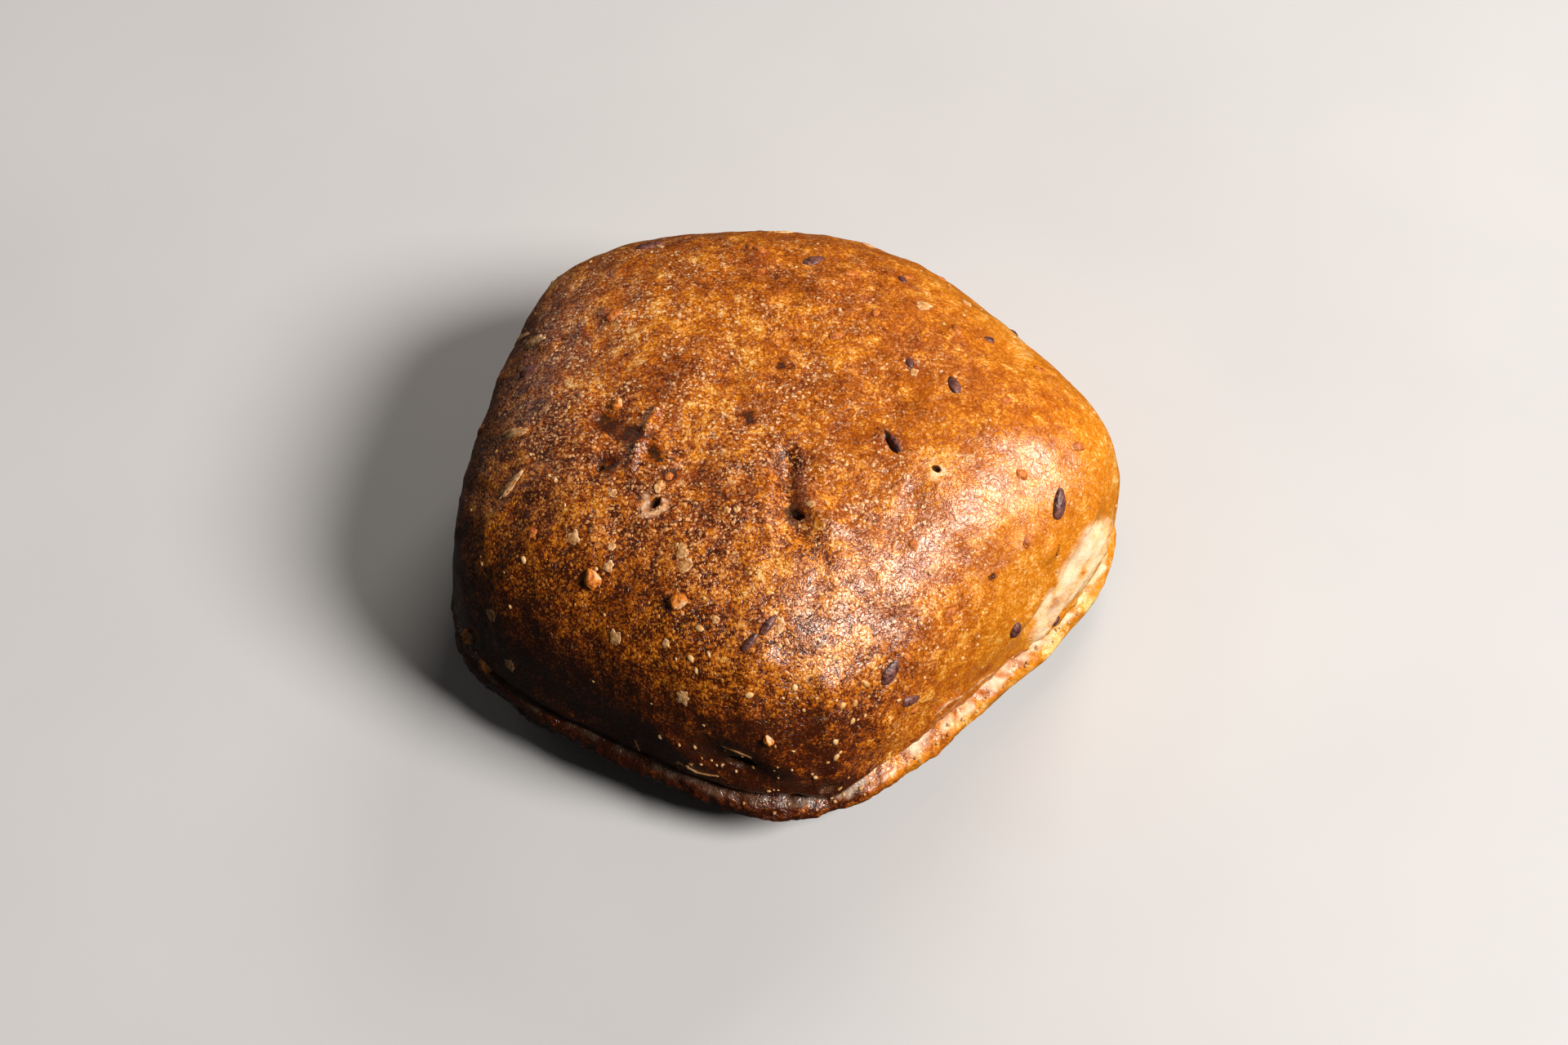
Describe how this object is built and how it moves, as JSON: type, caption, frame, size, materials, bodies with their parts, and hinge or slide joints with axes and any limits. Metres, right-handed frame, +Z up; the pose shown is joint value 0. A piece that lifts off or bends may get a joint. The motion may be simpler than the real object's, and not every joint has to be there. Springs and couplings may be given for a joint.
{
  "type": "bread roll",
  "caption": "Square multigrain bread roll with a glossy golden-brown crust, a pale floury lip round its foot and seeds baked into it.",
  "frame": {"origin": "on the surface the roll rests on, under the middle of its bounding box", "axes": "+Z up through the crown; +X towards the stretched right corner; -Y towards the blunt front corner"},
  "size_m": [0.0936, 0.0872, 0.0399],
  "materials": {
    "crust": "baked crust, satin to glossy"
  },
  "bodies": {
    "root": {"roll": "crust"}
  },
  "joints": []
}
